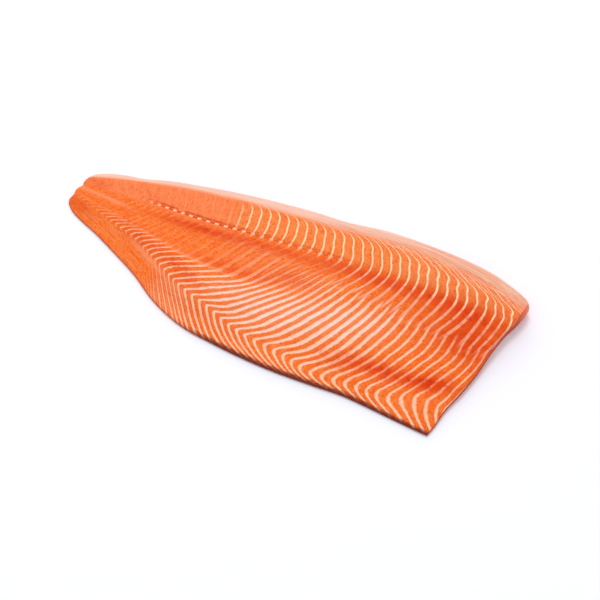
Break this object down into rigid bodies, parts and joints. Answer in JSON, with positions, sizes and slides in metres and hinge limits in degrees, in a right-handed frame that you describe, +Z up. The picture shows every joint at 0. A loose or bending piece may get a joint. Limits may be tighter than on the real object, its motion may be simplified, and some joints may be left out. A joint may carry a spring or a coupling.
{
  "type": "salmon fillet",
  "caption": "Whole raw side of salmon lying flesh side up, thick along the back and thin at the belly, cut square at the head end and rounded at the tail.",
  "frame": {"origin": "middle of the box round the side, on the flat underside it rests on", "axes": "+X toward the head end, +Y toward the thick back edge, +Z up out of the flesh"},
  "size_m": [0.504, 0.2072, 0.0277],
  "materials": {
    "raw_salmon": "moist raw flesh, soft gloss"
  },
  "bodies": {
    "root": {"fillet": "raw_salmon"}
  },
  "joints": []
}
